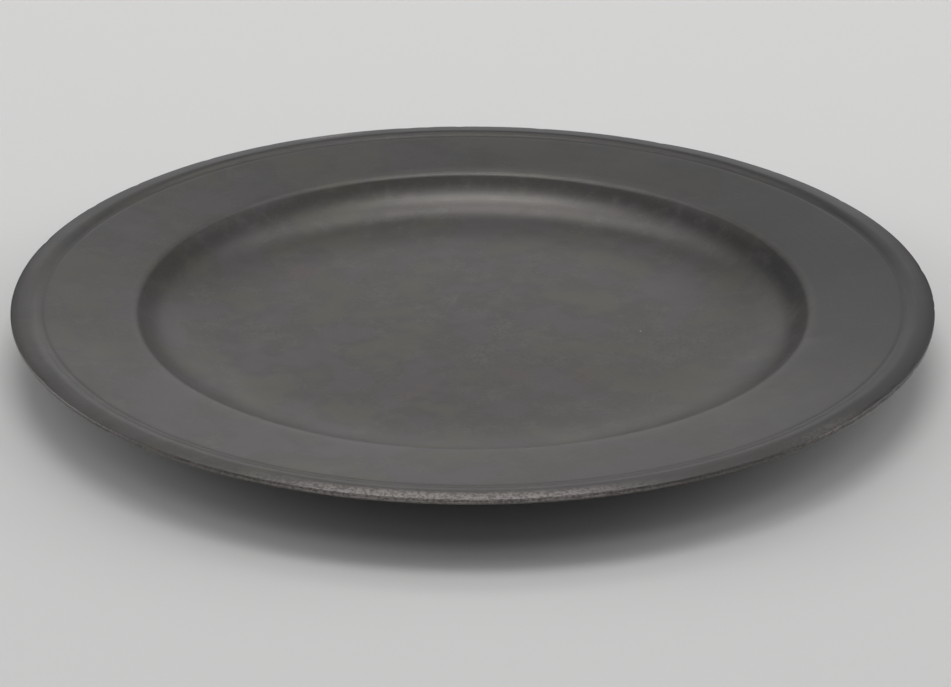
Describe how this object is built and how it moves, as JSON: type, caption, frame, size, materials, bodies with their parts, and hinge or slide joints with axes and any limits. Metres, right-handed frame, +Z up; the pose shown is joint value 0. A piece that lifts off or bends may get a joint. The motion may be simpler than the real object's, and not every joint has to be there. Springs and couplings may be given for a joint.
{
  "type": "paten plate",
  "caption": "Shallow round pewter plate with a flat sloping brim, a reed round the rim and a level well that holds altar bread.",
  "frame": {"origin": "centre of the flat base, on the surface that the plate stands on", "axes": "+Z up along the axis of revolution, out of the well; X and Y are any two square directions, because the plate is round"},
  "size_m": [0.24, 0.24, 0.0156],
  "materials": {
    "pewter": "cast and turned pewter with a dull dark grey patina, fine turning lines, small pits and a worn bright edge"
  },
  "bodies": {
    "root": {"plate": "pewter"}
  },
  "joints": []
}
